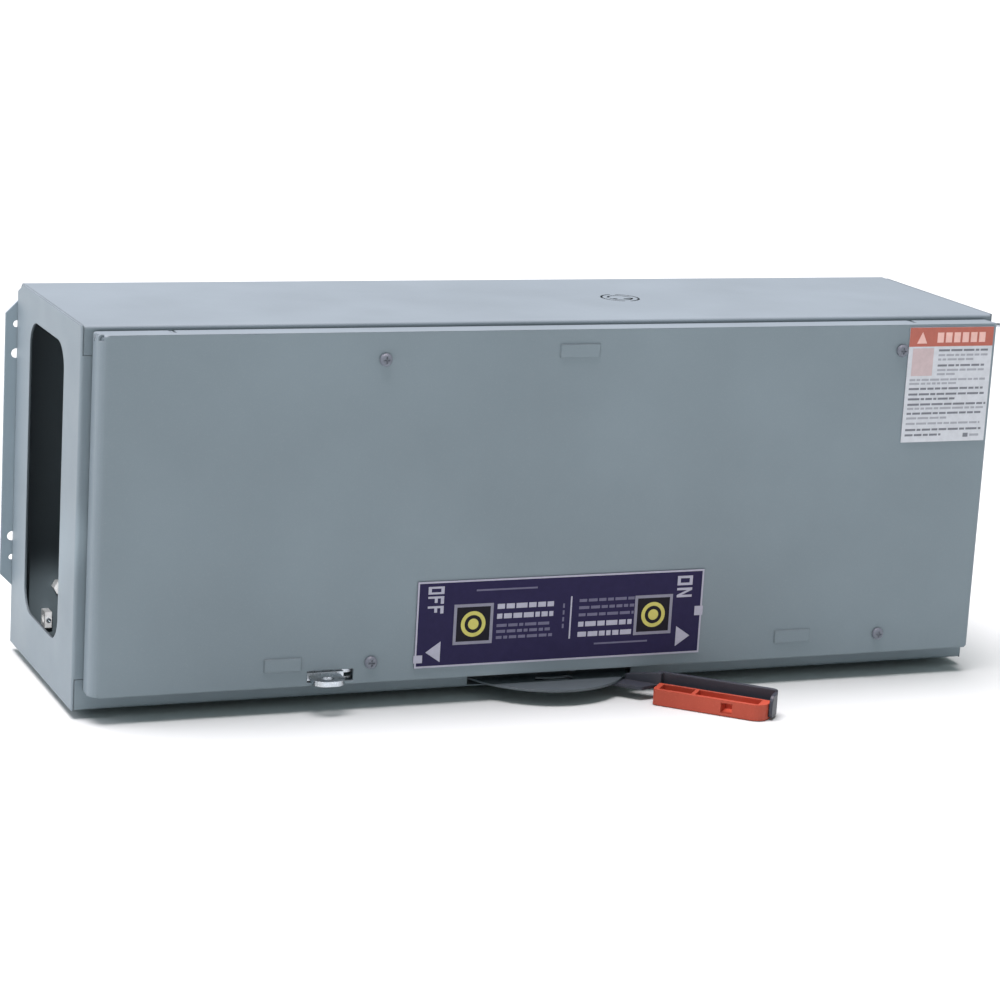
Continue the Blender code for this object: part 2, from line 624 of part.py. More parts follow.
def rotor_jaw(side, z):
    """Two leaves that grip a blade tip, open towards both sweeps, and the leg behind them."""
    tip = ROTOR[0] + side * BLADE[0] / 2
    half = BLADE[2] / 2 + GAP
    inner, web, outer = tip - side * 17, tip + side * 1.2, tip + side * 4.2
    leaves = [block(sorted((inner, outer)), (103, 117), span)
              for span in ((z + half, z + half + 2), (z - half - 2, z - half))]
    leg = block(sorted((web, outer)), (103, BASE_FRONT - 1), (z - half - 2, z + half + 2))
    return leaves + [leg]


def clip(x, z):
    """Spring clip, open to the front, that takes a fuse's knife blade."""
    half = FUSE_BLADE[2] / 2 + GAP
    leaves = [block(x, (95, 128), span) for span in ((z + half, z + half + 2),
                                                     (z - half - 2, z - half))]
    web = block(x, (125, 128), (z - half - 2, z + half + 2))
    leg = block((x[0] + 5, x[1] - 5), (126, BASE_FRONT - 1), (z - half, z + half))
    return leaves + [web, leg]


def bus_strip(x, z):
    """Flat copper strip along the base."""
    return block(x, (BASE_FRONT - 3.3, BASE_FRONT - GAP), (z - 12, z + 12))


def line_jaw(name, z):
    """Fixed contact on the incoming side, with the strip to its lug."""
    return solid(name, "copper", bus_strip((394.5, 474), z), add=rotor_jaw(1, z))


def load_jaw(name, z):
    """Fixed contact on the fuse side, with the fuse's inner clip."""
    return solid(name, "copper", bus_strip((286, 316), z),
                 add=rotor_jaw(-1, z) + clip((287, 308), z))


def fuse_clip(name, z):
    """Outer fuse clip, with the strip to the load lug."""
    return solid(name, "copper", bus_strip((99, 154), z), add=clip((133, 154), z))


def cable_lug(name, x, z):
    """Aluminium lug with a cable bore along x."""
    length, deep, tall = LUG
    y_back = BASE_FRONT - 3.3 - GAP
    y = (y_back - deep, y_back)
    body = block((x, x + length), y, (z - tall / 2, z + tall / 2))
    bore = prism(circle(y[0] + deep / 2 + 1, z, LUG_BORE_R, 20), "x", x - 1, x + length + 1)
    return solid(name, "aluminium", body, cut=[bore])


def along_x(cx_profile, z, steps=28):
    """A solid turned about a fuse's axis; the profile holds (x, radius)."""
    bm = bmesh.new()
    rings = [[bm.verts.new(to_world(x, ROTOR[1] + a, z + b))
              for a, b in circle(0, 0, radius, steps)] for x, radius in cx_profile]
    bm.faces.new(rings[0])
    bm.faces.new(rings[-1])
    for low, high in zip(rings, rings[1:]):
        for i in range(steps):
            j = (i + 1) % steps
            bm.faces.new((low[i], low[j], high[j], high[i]))
    return bm


def fuse_tube(name, z):
    """Open fibre tube between the two end caps."""
    x0, x1 = FUSE_X[0] + FUSE_BLADE[0] + 3.3, FUSE_X[1] - FUSE_BLADE[0] - 3.3
    tube = along_x([(x0, FUSE_TUBE_R), (x1, FUSE_TUBE_R)], z)
    bore = along_x([(x0 - 1, 12), (x1 + 1, 12)], z, 20)
    return solid(name, "fuse_tube", tube, cut=[bore])


def fuse_metal(name, z):
    """End caps, knife blades and the element between them."""
    x0, x1 = FUSE_X
    length, wide, thick = FUSE_BLADE
    half = (ROTOR[1] - wide / 2, ROTOR[1] + wide / 2)
    left, right = x0 + length, x1 - length
    bar = block((x0, x1), half, (z - thick / 2, z + thick / 2))
    cut_sides = [block((left + 3, right - 3), (half[0] - 1, ROTOR[1] - 5), (z - 4, z + 4)),
                 block((left + 3, right - 3), (ROTOR[1] + 5, half[1] + 1), (z - 4, z + 4))]
    caps = [along_x([(left, FUSE_CAP_R), (left + 22, FUSE_CAP_R)], z),
            along_x([(right - 22, FUSE_CAP_R), (right, FUSE_CAP_R)], z)]
    sockets = [along_x([(left + 3, FUSE_TUBE_R + GAP), (left + 23, FUSE_TUBE_R + GAP)], z),
               along_x([(right - 23, FUSE_TUBE_R + GAP), (right - 3, FUSE_TUBE_R + GAP)], z)]
    obj = solid(name, "copper", caps[0], cut=[sockets[0]])
    other = solid(name + "_far", "copper", caps[1], cut=[sockets[1]])
    element = solid(name + "_bar", "copper", bar, cut=cut_sides)
    for piece in (other, element):
        bm = bmesh.new()
        bm.from_mesh(piece.data)
        bpy.data.objects.remove(piece, do_unlink=True)
        combine(obj, "UNION", [bm])
    return obj


def phase_barrier(name, z):
    """Insulating shelf between two poles, notched round the rotor."""
    x_left, x_right, front = 122, 440, 66
    notch = ROTOR_R + 4
    outline = [(x_left, front), (ROTOR[0] - notch, front), (ROTOR[0] - notch, ROTOR[1] + notch),
               (ROTOR[0] + notch, ROTOR[1] + notch), (ROTOR[0] + notch, front), (x_right, front),
               (x_right, BASE_FRONT - GAP), (x_left, BASE_FRONT - GAP)]
    return solid(name, "fibre", prism(outline, "z", z - 1.2, z + 1.2))


# ---------------------------------------------------------------- assembly

def build_enclosure():
    enclosure_body()
    left_end_plate()
    right_end_plate()
    mounting_plate()
    hinge_rod()
    hinge_bracket("hinge_bracket_left", HINGE_X[0])
    hinge_bracket("hinge_bracket_right", HINGE_X[1])
    latch_catch()
    ground_lug()
    ground_stud()


def build_door():
    door()
    door_liner()
    latch_guide()
    door_latch()
    label("nameplate", "plate_print", (242, 465), (22, 85))
    label("info_label", "label_print", (619.2, 690.0), (175, 261.3))
    for number, (x, z) in enumerate([(x, z) for x in SCREW_X for z in SCREW_Z], 1):
        door_screw("door_screw_%d" % number, x, z)


def build_handle():
    handle_bush()
    handle_pin()
    handle_disc()
    handle_lever()
    handle_grip()
    for number, u in enumerate(RIVET_U, 1):
        handle_rivet("handle_rivet_%d" % number, u)
    crank_pin()
    drive_link()
    rotor_crank()
    rotor_shaft()
    rotor_bearing("rotor_bearing_lower", SHEET + GAP, 8.8)
    rotor_bearing("rotor_bearing_upper", 250.4, HEIGHT - SHEET - GAP)


def build_poles():
    switch_base()
    for number, z in enumerate(POLE_Z, 1):
        contact_blade("contact_blade_%d" % number, z)
        line_jaw("line_jaw_%d" % number, z)
        load_jaw("load_jaw_%d" % number, z)
        fuse_clip("fuse_clip_%d" % number, z)
        fuse_tube("fuse_tube_%d" % number, z)
        fuse_metal("fuse_ends_%d" % number, z)
        cable_lug("line_lug_%d" % number, 442, z)
        cable_lug("load_lug_%d" % number, 100, z)
    for number in (1, 2):
        phase_barrier("phase_barrier_%d" % number, (POLE_Z[number - 1] + POLE_Z[number]) / 2)


def main():
    clear_scene()
    build_enclosure()
    build_door()
    build_handle()
    build_poles()
    for obj in bpy.data.objects:
        if "finish" in obj:
            del obj["finish"]


main()
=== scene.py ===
"""Looks of the fusible disconnect box: surfaces, printed plates, small hardware, light, camera."""

import json
import math
import random

import bmesh
import bpy
from mathutils import Matrix, Vector


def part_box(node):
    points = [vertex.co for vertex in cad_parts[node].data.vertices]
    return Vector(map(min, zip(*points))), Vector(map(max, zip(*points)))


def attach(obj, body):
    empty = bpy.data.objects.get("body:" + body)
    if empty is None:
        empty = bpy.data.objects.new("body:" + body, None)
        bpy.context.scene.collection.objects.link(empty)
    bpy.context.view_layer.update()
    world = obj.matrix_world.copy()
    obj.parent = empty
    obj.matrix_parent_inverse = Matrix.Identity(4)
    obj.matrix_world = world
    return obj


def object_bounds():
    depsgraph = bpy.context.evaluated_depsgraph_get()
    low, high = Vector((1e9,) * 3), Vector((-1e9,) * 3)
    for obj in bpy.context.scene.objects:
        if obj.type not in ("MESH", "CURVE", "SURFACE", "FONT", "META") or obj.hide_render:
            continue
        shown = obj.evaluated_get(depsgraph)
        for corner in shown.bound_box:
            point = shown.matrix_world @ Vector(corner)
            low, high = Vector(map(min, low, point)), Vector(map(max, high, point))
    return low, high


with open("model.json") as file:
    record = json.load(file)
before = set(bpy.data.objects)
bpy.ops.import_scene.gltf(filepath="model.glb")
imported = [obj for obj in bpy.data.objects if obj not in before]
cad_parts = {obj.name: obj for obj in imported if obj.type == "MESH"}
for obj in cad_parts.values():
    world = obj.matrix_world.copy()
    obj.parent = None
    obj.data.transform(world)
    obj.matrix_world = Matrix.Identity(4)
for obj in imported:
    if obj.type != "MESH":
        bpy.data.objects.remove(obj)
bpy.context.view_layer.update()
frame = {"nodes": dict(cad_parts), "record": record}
MM = 0.001
DOOR_PAD = 1.1 * MM         # how far the door's pressed pads stand in front of its face
FACE_OVERLAP = 0.05 * MM    # how far a raised print starts behind the face it is on
INK_DEPTH = 0.08 * MM       # how far one layer of print stands out


# ---------------------------------------------------------------- surfaces

def scaled(colour, factor):
    return tuple(part * factor for part in colour)


class Surface:
    """Builds one node material on object coordinates, in metres."""

    def __init__(self, name, metallic=0.0):
        self.mat = bpy.data.materials.new(name)
        self.mat.use_nodes = True
        self.tree = self.mat.node_tree
        self.shader = self.tree.nodes["Principled BSDF"]
        self.shader.inputs["Metallic"].default_value = metallic
        self.coords = self.tree.nodes.new("ShaderNodeTexCoord").outputs["Object"]

    def link(self, source, socket):
        self.tree.links.new(source, socket)

    def node(self, kind, **settings):
        made = self.tree.nodes.new(kind)
        for key, value in settings.items():
            setattr(made, key, value)
        return made

    def stretched(self, stretch):
        mapping = self.node("ShaderNodeMapping")
        mapping.inputs["Scale"].default_value = stretch
        self.link(self.coords, mapping.inputs["Vector"])
        return mapping.outputs["Vector"]

    def noise(self, scale, detail=3.0, stretch=(1, 1, 1), roughness=0.5):
        made = self.node("ShaderNodeTexNoise")
        made.inputs["Scale"].default_value = scale
        made.inputs["Detail"].default_value = detail
        made.inputs["Roughness"].default_value = roughness
        self.link(self.stretched(stretch), made.inputs["Vector"])
        return made.outputs["Fac"]

    def cells(self, scale, stretch=(1, 1, 1)):
        made = self.node("ShaderNodeTexVoronoi")
        made.inputs["Scale"].default_value = scale
        self.link(self.stretched(stretch), made.inputs["Vector"])
        return made.outputs["Color"]

    def bands(self, scale, direction):
        made = self.node("ShaderNodeTexWave", bands_direction=direction)
        made.inputs["Scale"].default_value = scale
        made.inputs["Distortion"].default_value = 1.2
        self.link(self.coords, made.inputs["Vector"])
        return made.outputs["Fac"]

    def spread(self, value, low, high, start=0.3, end=0.7):
        """Maps a texture value onto a range."""
        made = self.node("ShaderNodeMapRange")
        for socket, number in zip(("From Min", "From Max", "To Min", "To Max"),
                                  (start, end, low, high)):
            made.inputs[socket].default_value = number
        self.link(value, made.inputs["Value"])
        return made.outputs["Result"]

    def faces(self, centre):
        """1 where a face of a fixed piece looks towards a point in metres, and 0 elsewhere."""
        away = self.node("ShaderNodeVectorMath", operation="SUBTRACT")
        away.inputs[1].default_value = centre
        self.link(self.coords, away.inputs[0])
        dot = self.node("ShaderNodeVectorMath", operation="DOT_PRODUCT")
        self.link(away.outputs["Vector"], dot.inputs[0])
        self.link(self.node("ShaderNodeNewGeometry").outputs["True Normal"], dot.inputs[1])
        towards = self.node("ShaderNodeMath", operation="LESS_THAN")
        towards.inputs[1].default_value = 0.0
        self.link(dot.outputs["Value"], towards.inputs[0])
        return towards.outputs["Value"]

    def mix(self, factor, first, second):
        """Blends two colours, each a tuple or another node's output."""
        made = self.node("ShaderNodeMix", data_type="RGBA")
        self.link(factor, made.inputs["Factor"])
        for socket, colour in ((made.inputs[6], first), (made.inputs[7], second)):
            if isinstance(colour, tuple):
                socket.default_value = (*colour, 1.0)
            else:
                self.link(colour, socket)
        return made.outputs[2]

    def edges(self, radius):
        """(0 on flats and 1 on edges, normals rounded over the edges)."""
        bevel = self.node("ShaderNodeBevel", samples=4)
        bevel.inputs["Radius"].default_value = radius
        geometry = self.node("ShaderNodeNewGeometry")
        dot = self.node("ShaderNodeVectorMath", operation="DOT_PRODUCT")
        self.link(bevel.outputs["Normal"], dot.inputs[0])
        self.link(geometry.outputs["Normal"], dot.inputs[1])
        return self.spread(dot.outputs["Value"], 1.0, 0.0, 0.8, 0.995), bevel.outputs["Normal"]

    def bump(self, heights, normal=None):
        """Stacks bumps, given as (height, depth in metres, strength)."""
        for height, depth, strength in heights:
            made = self.node("ShaderNodeBump")
            made.inputs["Distance"].default_value = depth
            made.inputs["Strength"].default_value = strength
            self.link(height, made.inputs["Height"])
            if normal is not None:
                self.link(normal, made.inputs["Normal"])
            normal = made.outputs["Normal"]
        self.link(normal, self.shader.inputs["Normal"])

    def finish(self, colour, roughness):
        self.link(colour, self.shader.inputs["Base Color"])
        self.link(roughness, self.shader.inputs["Roughness"])
        return self.mat


def enamel(name, base, worn, roughness, shade_point=None):
    """Baked paint: drifting tone, fine speckle, orange peel, and slight wear on the edges; faces
    that look towards the given point, in metres, get painted shade, a darker tone for the shaded
    inside."""
    surface = Surface(name)
    tone = surface.mix(surface.spread(surface.noise(7, 4), 0, 1), scaled(base, 0.93),
                       scaled(base, 1.07))
    speck = surface.mix(surface.spread(surface.noise(900, 2), 0, 0.12, 0.55, 0.8), tone, worn)
    edge, rounded = surface.edges(0.0012)
    breakup = surface.spread(surface.noise(160, 5), 0.0, 0.45, 0.5, 0.75)
    wear = surface.node("ShaderNodeMath", operation="MULTIPLY")
    surface.link(edge, wear.inputs[0])
    surface.link(breakup, wear.inputs[1])
    colour = surface.mix(wear.outputs["Value"], speck, worn)
    # painted shade: faces that look towards the point are darkened to half the paint's tone,
    # standing in for the shade inside the box
    if shade_point is not None:
        colour = surface.mix(surface.faces(shade_point), colour, scaled(base, 0.5))
    surface.bump([(surface.noise(420, 2), 0.00006, 0.28), (surface.noise(38, 2), 0.0003, 0.05)],
                 rounded)
    surface.shader.inputs["Specular IOR Level"].default_value = 0.28
    surface.shader.inputs["Coat Weight"].default_value = 0.05
    surface.shader.inputs["Coat Roughness"].default_value = 0.3
    return surface.finish(colour, surface.spread(surface.noise(24, 4), *roughness))


def plated(name, base, tint, roughness, metallic=1.0):
    """Plated metal: cloudy spangle with a faint cast, and fine handling marks."""
    surface = Surface(name, metallic)
    cloud = surface.mix(surface.spread(surface.noise(140, 4), 0, 1), base, tint)
    colour = surface.mix(surface.spread(surface.cells(520), 0, 0.15), cloud, (0.42, 0.45, 0.49))
    _, rounded = surface.edges(0.0004)
    surface.bump([(surface.noise(1300, 3), 0.00003, 0.3)], rounded)
    return surface.finish(colour, surface.spread(surface.noise(260, 4), *roughness))


def drawn_metal(name, base, tarnish, stretch, roughness):
    """Rolled or extruded metal: long streaks and blotches of tarnish."""
    surface = Surface(name, 1.0)
    streaks = surface.noise(900, 3, stretch)
    clean = surface.mix(surface.spread(streaks, 0, 0.5), base, scaled(base, 0.8))
    colour = surface.mix(surface.spread(surface.noise(60, 5), 0, 0.6, 0.5, 0.72), clean, tarnish)
    _, rounded = surface.edges(0.0005)
    surface.bump([(streaks, 0.00004, 0.35)], rounded)
    return surface.finish(colour, surface.spread(surface.noise(180, 3), *roughness))


def moulded(name, base, fleck, roughness, grain):
    """Moulded plastic: flow marks, flecks of filler, and a fine surface grain."""
    surface = Surface(name)
    flow = surface.noise(30, 5, (1, 2.5, 1))
    body = surface.mix(surface.spread(flow, 0, 1), scaled(base, 0.88), base)
    colour = surface.mix(surface.spread(surface.noise(700, 2), 0, 0.35, 0.58, 0.75), body, fleck)
    _, rounded = surface.edges(0.0007)
    surface.bump([(surface.noise(grain, 3), 0.00005, 0.35)], rounded)
    surface.shader.inputs["Specular IOR Level"].default_value = 0.3
    return surface.finish(colour, surface.spread(surface.noise(90, 3), *roughness))


def woven(name, base, thread, direction):
    """Wound or laminated fibre: fine bands crossed by loose threads."""
    surface = Surface(name)
    bands = surface.bands(330, direction)
    layered = surface.mix(surface.spread(bands, 0, 0.7, 0.1, 0.9), base, thread)
    colour = surface.mix(surface.spread(surface.noise(500, 3, (0.2, 1, 1)), 0, 0.5), layered, base)
    surface.bump([(bands, 0.00006, 0.4)])
    return surface.finish(colour, surface.spread(surface.noise(120, 3), 0.5, 0.75))


def ink(name, base, roughness, matt=False):
    """Printed colour: slight unevenness in the ink film."""
    surface = Surface(name)
    if matt:
        surface.shader.inputs["Specular IOR Level"].default_value = 0.12
    colour = surface.mix(surface.spread(surface.noise(260, 4), 0, 1), scaled(base, 0.9), base)
    surface.bump([(surface.noise(1500, 2), 0.00002, 0.25)])
    return surface.finish(colour, surface.spread(surface.noise(110, 3), *roughness))


PAINT = (0.220, 0.276, 0.309)
WORN_PAINT = (0.36, 0.40, 0.42)
SATIN = (0.42, 0.54)        # range of the enamel's roughness
MATT_INK = (0.45, 0.6)      # and of two kinds of print
SATIN_INK = (0.35, 0.5)

SURFACES = {
    "paint": enamel("grey_enamel", PAINT, WORN_PAINT, SATIN),
    "black_paint": enamel("black_enamel", (0.046, 0.052, 0.068), (0.13, 0.135, 0.15), (0.38, 0.5)),
    "red_plastic": moulded("red_moulding", (0.49, 0.080, 0.044), (0.58, 0.12, 0.07),
                           (0.4, 0.5), 1100),
    "zinc": plated("zinc_plate", (0.60, 0.66, 0.72), (0.55, 0.58, 0.60), (0.22, 0.38)),
    "copper": drawn_metal("bare_copper", (0.78, 0.42, 0.27), (0.36, 0.17, 0.10), (0.05, 1, 1),
                          (0.22, 0.42)),
    "aluminium": drawn_metal("extruded_aluminium", (0.80, 0.80, 0.82), (0.62, 0.62, 0.63),
                             (0.04, 1, 1), (0.25, 0.42)),
    "phenolic": moulded("phenolic_moulding", (0.055, 0.04, 0.034), (0.12, 0.09, 0.075),
                        (0.42, 0.6), 600),
    "fibre": woven("pressed_fibre", (0.085, 0.08, 0.075), (0.14, 0.13, 0.12), "X"),
    "fuse_tube": woven("wound_tube", (0.10, 0.17, 0.26), (0.18, 0.27, 0.37), "X"),
    "plate_print": ink("indigo_enamel", (0.024, 0.020, 0.068), (0.5, 0.62), matt=True),
    "label_print": ink("label_paper", (0.68, 0.71, 0.76), (0.4, 0.55)),
}
SILVER = ink("silver_ink", (0.44, 0.44, 0.54), SATIN_INK)
DIM_SILVER = ink("dim_silver_ink", (0.16, 0.155, 0.24), (0.4, 0.55), matt=True)
FRAME_SILVER = ink("frame_silver_ink", (0.27, 0.27, 0.34), (0.4, 0.55), matt=True)
YELLOW = ink("yellow_ink", (0.60, 0.56, 0.12), SATIN_INK)
ORANGE = ink("orange_ink", (0.50, 0.132, 0.092), SATIN_INK)
GREY_INK = ink("grey_ink", (0.20, 0.215, 0.25), MATT_INK)
SOFT_INK = ink("soft_grey_ink", (0.40, 0.42, 0.47), MATT_INK)
PALE_INK = ink("pale_ink", (0.90, 0.55, 0.49), MATT_INK)
BLUSH_INK = ink("blush_ink", (0.62, 0.50, 0.51), MATT_INK)
DARK_INK = ink("dark_ink", (0.012, 0.011, 0.018), MATT_INK, matt=True)

BOX_CENTRE = sum(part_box("enclosure_body"), Vector()) / 2
# the box's own sheets get painted shade on faces that look inwards, towards the box centre
OWN_SURFACES = dict.fromkeys(
    ("enclosure_body", "left_end_plate", "right_end_plate"),
    enamel("grey_enamel_box", PAINT, WORN_PAINT, SATIN, BOX_CENTRE))
# the lug and stud get near-white, barely metallic tin: partly the tin's own colour, partly painted
# light for the light that falls on them through the end opening
OWN_SURFACES.update(dict.fromkeys(
    ("ground_lug", "ground_stud"),
    plated("tinned_lug_with_painted_light", (0.96, 0.96, 0.97), (0.88, 0.88, 0.87), (0.4, 0.55), 0.1)))
# the mounting plate gets the box's grey paint made 1.38 times lighter: painted light, standing in
# for the brighter light that falls on its ear
OWN_SURFACES["mounting_plate"] = enamel("grey_enamel_painted_light", scaled(PAINT, 1.38), (0.40, 0.44, 0.46),
                                        SATIN)
OWN_SURFACES.update(dict.fromkeys(
    ["door_screw_%d" % number for number in (1, 2, 3, 4)],
    enamel("screw_enamel", (0.185, 0.205, 0.245), (0.42, 0.44, 0.48), (0.2, 0.32))))
# the disc gets the box paint at 0.43 times with a smoother finish: partly a darker disc, partly
# painted shade for the shadow the door casts on it
OWN_SURFACES["handle_disc"] = enamel("dark_disc_with_painted_shade", scaled(PAINT, 0.43), (0.24, 0.26, 0.28),
                                     (0.28, 0.42))

for entry in frame["record"]["subparts"]:
    slots = frame["nodes"][entry["node"]].data.materials
    slots.clear()
    slots.append(OWN_SURFACES.get(entry["node"], SURFACES[entry["material_slot"]]))


# ---------------------------------------------------------------- building

def add_piece(name, bm, material, body):
    """Makes a visible piece that moves with a body of the frame."""
    bmesh.ops.recalc_face_normals(bm, faces=bm.faces)
    mesh = bpy.data.meshes.new(name)
    bm.to_mesh(mesh)
    bm.free()
    mesh.materials.append(material)
    piece = bpy.data.objects.new(name, mesh)
    bpy.context.scene.collection.objects.link(piece)
    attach(piece, body)
    return piece


def skin_rings(bm, rings):
    """Closes a stack of rings of points into one solid."""
    rings = [[bm.verts.new(point) for point in ring] for ring in rings]
    bm.faces.new(rings[0])
    bm.faces.new(rings[-1])
    for first, second in zip(rings, rings[1:]):
        for i in range(len(first)):
            j = (i + 1) % len(first)
            bm.faces.new((first[i], first[j], second[j], second[i]))


def raise_outline(bm, outline, front, thickness):
    """Adds a flat shape, given as (x, z), standing out of a face that looks along -Y."""
    skin_rings(bm, [[(x, y, z) for x, z in outline]
                    for y in (front + FACE_OVERLAP, front - thickness)])


class Print:
    """Ink on a flat plate of the door, placed in fractions of the plate's width and height."""

    def __init__(self, node, slot):
        low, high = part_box(node)
        self.node, self.slot = node, slot
        self.x, self.z = low.x, low.z
        self.width, self.height = high.x - low.x, high.z - low.z
        self.front = low.y
        self.layers = {}

    def place(self, u, v):
        return self.x + u * self.width, self.z + v * self.height

    def shape(self, layer, points, lift=1.0):
        self.layers.setdefault(layer, []).append(([self.place(u, v) for u, v in points], lift))

    def bar(self, layer, u0, u1, v0, v1, lift=1.0):
        self.shape(layer, [(u0, v0), (u1, v0), (u1, v1), (u0, v1)], lift)

    def disc(self, layer, u, v, radius, lift=1.0, steps=40):
        points = [(u + radius / self.width * math.cos(2 * math.pi * i / steps),
                   v + radius / self.height * math.sin(2 * math.pi * i / steps))
                  for i in range(steps)]
        self.shape(layer, points, lift)

    def outline(self, layer, u0, u1, v0, v1, line, lift=1.0):
        """A rectangular frame; line is the stroke in metres."""
        du, dv = line / self.width, line / self.height
        self.bar(layer, u0, u1, v1 - dv, v1, lift)
        self.bar(layer, u0, u1, v0, v0 + dv, lift)
        self.bar(layer, u0, u0 + du, v0 + dv, v1 - dv, lift)
        self.bar(layer, u1 - du, u1, v0 + dv, v1 - dv, lift)

    def dashes(self, layer, rng, u0, u1, v, height, lengths):
        """A row of uneven dashes in place of words."""
        u = u0
        while u < u1 - lengths[0] * 0.5:
            end = min(u + rng.uniform(*lengths), u1)
            self.bar(layer, u, end, v - height / 2, v + height / 2)
            u = end + lengths[0] * 0.45

    def letter(self, layer, strokes, u0, rise, v0, advance):
        """A letter turned a quarter clockwise, drawn from strokes."""
        for points in strokes:
            self.shape(layer, [(u0 + up * rise, v0 - along * advance) for along, up in points])

    def make(self, inks):
        for layer, shapes in self.layers.items():
            bm = bmesh.new()
            for points, lift in shapes:
                raise_outline(bm, points, self.front, INK_DEPTH * lift)
            add_piece("%s_%s" % (self.node, layer), bm, inks[layer], "door")


# ---------------------------------------------------------------- printed plates

def stroke(left, right, low, high):
    """One bar of a letter, as (along, up) points in a unit cell."""
    return [(left, low), (right, low), (right, high), (left, high)]


LETTERS = {
    "O": [stroke(0, 0.26, 0, 1), stroke(0.74, 1, 0, 1), stroke(0.26, 0.74, 0, 0.2),
          stroke(0.26, 0.74, 0.8, 1)],
    "F": [stroke(0, 0.28, 0, 1), stroke(0.28, 1, 0.8, 1), stroke(0.28, 0.85, 0.42, 0.6)],
    "N": [stroke(0, 0.25, 0, 1), stroke(0.75, 1, 0, 1),
          [(0.25, 1), (0.25, 0.68), (0.75, 0), (0.75, 0.32)]],
}


def draw_nameplate():
    """Indigo plate: silver border, off and on marks, arrows, framed discs and rows of dashes."""
    plate = Print("nameplate", "plate_print")
    rng = random.Random(11)
    plate.outline("silver", 0.0, 1.0, 0.0, 1.0, 1.3 * MM)
    for word, u, top, advance in (("OFF", 0.036, 0.94, 0.088), ("ON", 0.906, 0.93, 0.112)):
        for place, name in enumerate(word):
            plate.letter("silver", LETTERS[name], u, 0.054, top - place * advance * 1.28, advance)
    plate.shape("silver", [(0.036, 0.18), (0.086, 0.06), (0.086, 0.30)])
    plate.shape("silver", [(0.962, 0.21), (0.912, 0.33), (0.912, 0.09)])
    plate.bar("silver", -0.004, 0.026, 0.06, 0.15, 2.0)
    plate.bar("silver", 0.974, 1.004, 0.45, 0.56, 2.0)
    for u in (0.194, 0.825):
        half_u, half_v = 15.0 * MM / plate.width, 14.8 * MM / plate.height
        plate.bar("field", u - half_u, u + half_u, 0.485 - half_v, 0.485 + half_v)
        plate.outline("frame", u - half_u, u + half_u, 0.485 - half_v, 0.485 + half_v,
                      2.2 * MM, 2.0)
        plate.disc("yellow", u, 0.485, 9.4 * MM, 2.0)
        plate.disc("field", u, 0.485, 6.6 * MM, 3.0)
        plate.disc("yellow", u, 0.485, 4.0 * MM, 4.0)
    plate.bar("silver", 0.529, 0.534, 0.25, 0.75)
    plate.bar("dim", 0.2, 0.41, 0.865, 0.885)
    plate.bar("dim", 0.62, 0.81, 0.165, 0.185)
    for v in (0.38, 0.46, 0.54, 0.62):
        plate.bar("dim", 0.503, 0.509, v, v + 0.05)
    rows = (((0.275, 0.47), ((0.675, 1), (0.56, 1), (0.45, 0), (0.38, 0), (0.31, 0))),
            ((0.56, 0.755), ((0.695, 0), (0.61, 0), (0.525, 0), (0.415, 1), (0.295, 1))))
    for (u0, u1), lines in rows:
        for v, bright in lines:
            layer = "silver" if bright else "dim"
            plate.dashes(layer, rng, u0, u1, v, 0.058 if bright else 0.034, (0.013, 0.04))
    plate.make({"silver": SILVER, "dim": DIM_SILVER, "frame": FRAME_SILVER, "yellow": YELLOW,
                "field": DARK_INK})


def draw_info_label():
    """White label: orange band with plain blocks, and rows of grey dashes of uneven length."""
    label = Print("info_label", "label_print")
    rng = random.Random(23)
    label.bar("band", 0.0, 1.0, 0.835, 1.0)
    label.shape("pale", [(0.09, 0.862), (0.21, 0.862), (0.15, 0.962)], 2.0)
    for number in range(6):
        left = 0.33 + 0.1 * number
        label.bar("pale", left, left + 0.075, 0.868, 0.955, 2.0)
    label.bar("blush", 0.05, 0.30, 0.58, 0.82)
    short_rows = ((0.80, 0.95, 1), (0.758, 0.96, 0), (0.72, 0.8, 0), (0.668, 0.92, 1),
                  (0.628, 0.94, 0), (0.592, 0.6, 0))
    long_rows = ((0.545, 0.97, 0), (0.512, 0.6, 0), (0.467, 0.93, 1), (0.419, 0.97, 1),
                 (0.377, 0.6, 1), (0.330, 0.98, 1), (0.294, 0.98, 0), (0.251, 0.93, 1),
                 (0.21, 0.52, 0), (0.162, 0.93, 0), (0.108, 0.95, 1), (0.062, 0.47, 1))
    for u0, rows in ((0.36, short_rows), (0.04, long_rows)):
        for v, u1, dark in rows:
            label.dashes("grey" if dark else "soft", rng, u0, u1, v, 0.018, (0.035, 0.14))
    label.bar("grey", 0.74, 0.80, 0.035, 0.07)
    label.bar("soft", 0.82, 0.93, 0.042, 0.062)
    label.make({"band": ORANGE, "pale": PALE_INK, "blush": BLUSH_INK, "grey": GREY_INK,
                "soft": SOFT_INK})


# ---------------------------------------------------------------- hardware

def lathe_forward(name, centre, profile, material, body, steps=28):
    """A turned piece on an axis along Y; profile holds (radius, distance towards the front)."""
    bm = bmesh.new()
    skin_rings(bm, [[(centre.x + radius * math.cos(2 * math.pi * i / steps), centre.y - ahead,
                      centre.z + radius * math.sin(2 * math.pi * i / steps))
                     for i in range(steps)] for radius, ahead in profile])
    piece = add_piece(name, bm, material, body)
    piece.data.shade_smooth()
    piece.data.set_sharp_from_angle(angle=math.radians(40))


def set_screw(name, box, profile):
    """A socket screw in the middle of a lug's front; profile is in millimetres."""
    low, high = box
    centre = Vector(((low.x + high.x) / 2, low.y, (low.z + high.z) / 2))
    lathe_forward(name, centre, [(radius * MM, ahead * MM) for radius, ahead in profile],
                  SURFACES["zinc"], "enclosure")


